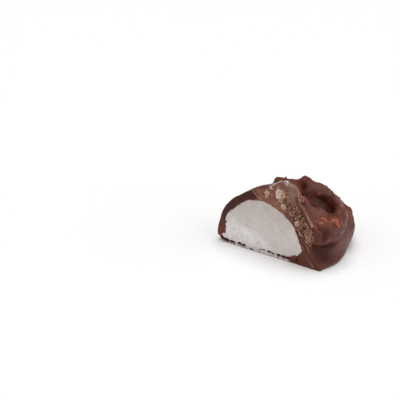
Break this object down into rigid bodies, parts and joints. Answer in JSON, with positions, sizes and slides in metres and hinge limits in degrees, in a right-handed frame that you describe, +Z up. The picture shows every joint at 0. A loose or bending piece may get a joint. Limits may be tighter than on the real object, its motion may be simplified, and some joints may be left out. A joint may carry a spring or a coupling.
{
  "type": "cut chocolate marshmallow egg",
  "caption": "Chocolate-coated marshmallow egg with one end cut away: a low dome on a flat base, a white marshmallow core, a smooth chocolate shell and a lumpy chocolate and crisp topping",
  "frame": {"origin": "The middle of the whole egg's flat base, on the surface that it rests on", "axes": "+Z is up, +Y points away from the flat cut face, which lies in the plane y = -9 mm, and +X runs along the cut toward the shoulder that the topping covers"},
  "size_m": [0.0452, 0.0346, 0.0317],
  "materials": {
    "marshmallow": "soft, finely granular marshmallow, matt",
    "shell": "smooth milk chocolate, satin outside and dull at the cut",
    "topping": "lumpy milk chocolate with crumbs, satin outside and rough at the cut",
    "crisp": "porous toasted crisp, matt"
  },
  "bodies": {
    "root": {"marshmallow": "marshmallow", "shell": "shell", "topping": "topping", "crisp_large": "crisp", "crisp_left": "crisp", "crisp_inner": "crisp", "crisp_side": "crisp", "crisp_edge": "crisp"}
  },
  "joints": []
}
